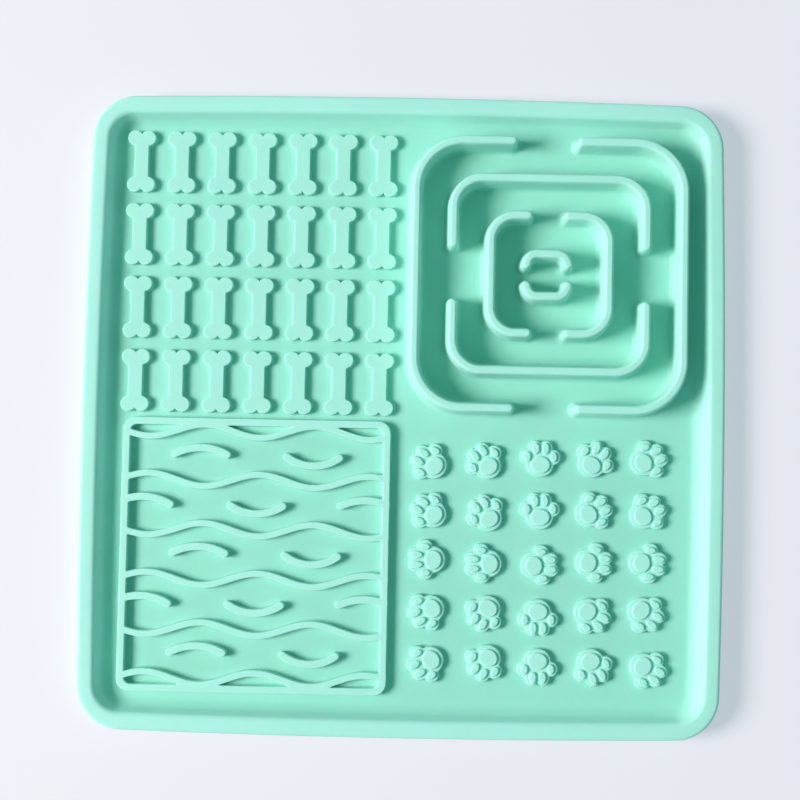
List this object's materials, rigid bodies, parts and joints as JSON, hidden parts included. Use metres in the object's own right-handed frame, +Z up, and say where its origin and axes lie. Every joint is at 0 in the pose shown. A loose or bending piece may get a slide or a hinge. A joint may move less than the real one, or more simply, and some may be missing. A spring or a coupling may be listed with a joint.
{
  "type": "lick mat",
  "caption": "Square moulded silicone lick mat with a raised rim and four relief panels of bones, a maze, waves and paws that hold spread pet food.",
  "frame": {"origin": "middle of the flat underside, on the surface the mat rests on", "axes": "+Z up out of the tray, +X to the maze side, +Y to the side with the bones and the maze"},
  "size_m": [0.2034, 0.2026, 0.0138],
  "materials": {
    "silicone": "satin"
  },
  "bodies": {
    "root": {"lick_mat": "silicone"}
  },
  "joints": []
}
